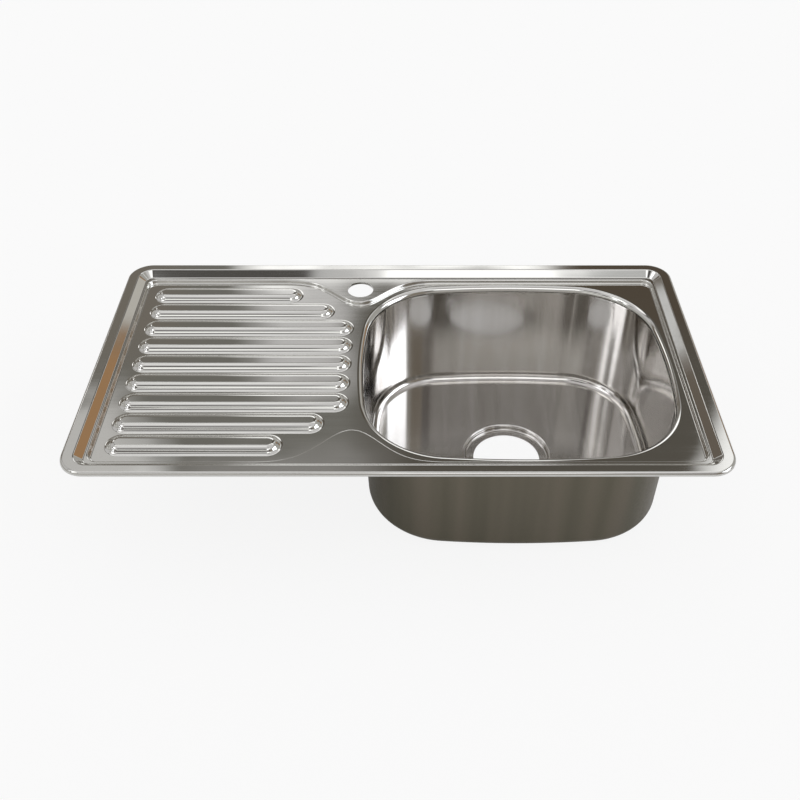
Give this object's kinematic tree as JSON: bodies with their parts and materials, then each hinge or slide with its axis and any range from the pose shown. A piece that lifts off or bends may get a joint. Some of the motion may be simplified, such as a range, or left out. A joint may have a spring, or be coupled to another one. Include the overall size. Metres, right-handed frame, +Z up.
{
  "type": "kitchen sink with drainboard",
  "caption": "Inset stainless steel kitchen sink with a deep bowl, a ribbed drainer, a tap hole and folding screw clips under the rim.",
  "frame": {"origin": "centre of the rim in plan, at the worktop's level, which is the underside of the rim's seal", "axes": "+X to the right along the sink's length, +Y to the back, where the tap hole is, +Z up out of the worktop"},
  "size_m": [0.75, 0.41, 0.1798],
  "materials": {
    "polished_stainless": "polished stainless sheet",
    "satin_stainless": "fine satin stainless sheet inside, plain mill finish outside",
    "plain_stainless": "plain mill finish",
    "zinc_plated_sheet": "bright zinc plated, folded sheet",
    "zinc_plated_rivet": "bright zinc plated, turned",
    "damping_pad": "matt bitumen sheet",
    "seal_rubber": "fine cellular rubber strip"
  },
  "bodies": {
    "sink": {"drainer_deck": "polished_stainless", "bowl": "satin_stainless", "bowl_pad_left": "damping_pad", "bowl_pad_right": "damping_pad", "rim_seal": "seal_rubber", "tap_hole_ring": "plain_stainless", "clip_pins": "zinc_plated_rivet", "clip_hanger_front_1": "plain_stainless", "clip_hanger_front_2": "plain_stainless", "clip_hanger_back_1": "plain_stainless", "clip_hanger_back_2": "plain_stainless", "clip_hanger_left_1": "plain_stainless", "clip_hanger_left_2": "plain_stainless", "clip_hanger_right_1": "plain_stainless", "clip_hanger_right_2": "plain_stainless"},
    "arm_front_1": {"clip_arm_front_1": "zinc_plated_sheet"},
    "claw_front_1": {"clip_claw_front_1": "zinc_plated_sheet"},
    "screw_front_1": {"clip_screw_front_1": "zinc_plated_rivet"},
    "arm_front_2": {"clip_arm_front_2": "zinc_plated_sheet"},
    "claw_front_2": {"clip_claw_front_2": "zinc_plated_sheet"},
    "screw_front_2": {"clip_screw_front_2": "zinc_plated_rivet"},
    "arm_back_1": {"clip_arm_back_1": "zinc_plated_sheet"},
    "claw_back_1": {"clip_claw_back_1": "zinc_plated_sheet"},
    "screw_back_1": {"clip_screw_back_1": "zinc_plated_rivet"},
    "arm_back_2": {"clip_arm_back_2": "zinc_plated_sheet"},
    "claw_back_2": {"clip_claw_back_2": "zinc_plated_sheet"},
    "screw_back_2": {"clip_screw_back_2": "zinc_plated_rivet"},
    "arm_left_1": {"clip_arm_left_1": "zinc_plated_sheet"},
    "claw_left_1": {"clip_claw_left_1": "zinc_plated_sheet"},
    "screw_left_1": {"clip_screw_left_1": "zinc_plated_rivet"},
    "arm_left_2": {"clip_arm_left_2": "zinc_plated_sheet"},
    "claw_left_2": {"clip_claw_left_2": "zinc_plated_sheet"},
    "screw_left_2": {"clip_screw_left_2": "zinc_plated_rivet"},
    "arm_right_1": {"clip_arm_right_1": "zinc_plated_sheet"},
    "claw_right_1": {"clip_claw_right_1": "zinc_plated_sheet"},
    "screw_right_1": {"clip_screw_right_1": "zinc_plated_rivet"},
    "arm_right_2": {"clip_arm_right_2": "zinc_plated_sheet"},
    "claw_right_2": {"clip_claw_right_2": "zinc_plated_sheet"},
    "screw_right_2": {"clip_screw_right_2": "zinc_plated_rivet"}
  },
  "joints": [
    {"name": "fold_front_1", "type": "hinge", "parent": "sink", "child": "arm_front_1", "pos_m": [-0.3, -0.1742, -0.0183], "axis": [-1, 0, 0], "range_deg": [0, 90]},
    {"name": "claw_travel_front_1", "type": "slide", "parent": "arm_front_1", "child": "claw_front_1", "axis": [0, -1, 0], "range_m": [0, 0.016]},
    {"name": "screw_turn_front_1", "type": "hinge", "parent": "claw_front_1", "child": "screw_front_1", "pos_m": [-0.3, -0.1382, -0.0188], "axis": [0, -1, 0], "range_deg": [0, 7201]},
    {"name": "fold_front_2", "type": "hinge", "parent": "sink", "child": "arm_front_2", "pos_m": [-0.095, -0.1742, -0.0183], "axis": [-1, 0, 0], "range_deg": [0, 90]},
    {"name": "claw_travel_front_2", "type": "slide", "parent": "arm_front_2", "child": "claw_front_2", "axis": [0, -1, 0], "range_m": [0, 0.016]},
    {"name": "screw_turn_front_2", "type": "hinge", "parent": "claw_front_2", "child": "screw_front_2", "pos_m": [-0.095, -0.1382, -0.0188], "axis": [0, -1, 0], "range_deg": [0, 7201]},
    {"name": "fold_back_1", "type": "hinge", "parent": "sink", "child": "arm_back_1", "pos_m": [-0.3, 0.1742, -0.0183], "axis": [1, 0, 0], "range_deg": [0, 90]},
    {"name": "claw_travel_back_1", "type": "slide", "parent": "arm_back_1", "child": "claw_back_1", "axis": [0, 1, 0], "range_m": [0, 0.016]},
    {"name": "screw_turn_back_1", "type": "hinge", "parent": "claw_back_1", "child": "screw_back_1", "pos_m": [-0.3, 0.1382, -0.0188], "axis": [0, 1, 0], "range_deg": [0, 7201]},
    {"name": "fold_back_2", "type": "hinge", "parent": "sink", "child": "arm_back_2", "pos_m": [-0.095, 0.1742, -0.0183], "axis": [1, 0, 0], "range_deg": [0, 90]},
    {"name": "claw_travel_back_2", "type": "slide", "parent": "arm_back_2", "child": "claw_back_2", "axis": [0, 1, 0], "range_m": [0, 0.016]},
    {"name": "screw_turn_back_2", "type": "hinge", "parent": "claw_back_2", "child": "screw_back_2", "pos_m": [-0.095, 0.1382, -0.0188], "axis": [0, 1, 0], "range_deg": [0, 7201]},
    {"name": "fold_left_1", "type": "hinge", "parent": "sink", "child": "arm_left_1", "pos_m": [-0.3446, -0.098, -0.0183], "axis": [0, 1, 0], "range_deg": [0, 90]},
    {"name": "claw_travel_left_1", "type": "slide", "parent": "arm_left_1", "child": "claw_left_1", "axis": [-1, 0, 0], "range_m": [0, 0.016]},
    {"name": "screw_turn_left_1", "type": "hinge", "parent": "claw_left_1", "child": "screw_left_1", "pos_m": [-0.3086, -0.098, -0.0188], "axis": [-1, 0, 0], "range_deg": [0, 7201]},
    {"name": "fold_left_2", "type": "hinge", "parent": "sink", "child": "arm_left_2", "pos_m": [-0.3446, 0.098, -0.0183], "axis": [0, 1, 0], "range_deg": [0, 90]},
    {"name": "claw_travel_left_2", "type": "slide", "parent": "arm_left_2", "child": "claw_left_2", "axis": [-1, 0, 0], "range_m": [0, 0.016]},
    {"name": "screw_turn_left_2", "type": "hinge", "parent": "claw_left_2", "child": "screw_left_2", "pos_m": [-0.3086, 0.098, -0.0188], "axis": [-1, 0, 0], "range_deg": [0, 7201]},
    {"name": "fold_right_1", "type": "hinge", "parent": "sink", "child": "arm_right_1", "pos_m": [0.3446, -0.15106, -0.0183], "axis": [0, -1, 0], "range_deg": [0, 90]},
    {"name": "claw_travel_right_1", "type": "slide", "parent": "arm_right_1", "child": "claw_right_1", "axis": [1, 0, 0], "range_m": [0, 0.016]},
    {"name": "screw_turn_right_1", "type": "hinge", "parent": "claw_right_1", "child": "screw_right_1", "pos_m": [0.3086, -0.15106, -0.0188], "axis": [1, 0, 0], "range_deg": [0, 7201]},
    {"name": "fold_right_2", "type": "hinge", "parent": "sink", "child": "arm_right_2", "pos_m": [0.3446, 0.15106, -0.0183], "axis": [0, -1, 0], "range_deg": [0, 90]},
    {"name": "claw_travel_right_2", "type": "slide", "parent": "arm_right_2", "child": "claw_right_2", "axis": [1, 0, 0], "range_m": [0, 0.016]},
    {"name": "screw_turn_right_2", "type": "hinge", "parent": "claw_right_2", "child": "screw_right_2", "pos_m": [0.3086, 0.15106, -0.0188], "axis": [1, 0, 0], "range_deg": [0, 7201]}
  ],
  "couplings": [
    {"joint": "screw_turn_front_1", "follows": "claw_travel_front_1", "rad_per_m": 7854},
    {"joint": "screw_turn_front_2", "follows": "claw_travel_front_2", "rad_per_m": 7854},
    {"joint": "screw_turn_back_1", "follows": "claw_travel_back_1", "rad_per_m": 7854},
    {"joint": "screw_turn_back_2", "follows": "claw_travel_back_2", "rad_per_m": 7854},
    {"joint": "screw_turn_left_1", "follows": "claw_travel_left_1", "rad_per_m": 7854},
    {"joint": "screw_turn_left_2", "follows": "claw_travel_left_2", "rad_per_m": 7854},
    {"joint": "screw_turn_right_1", "follows": "claw_travel_right_1", "rad_per_m": 7854},
    {"joint": "screw_turn_right_2", "follows": "claw_travel_right_2", "rad_per_m": 7854}
  ]
}
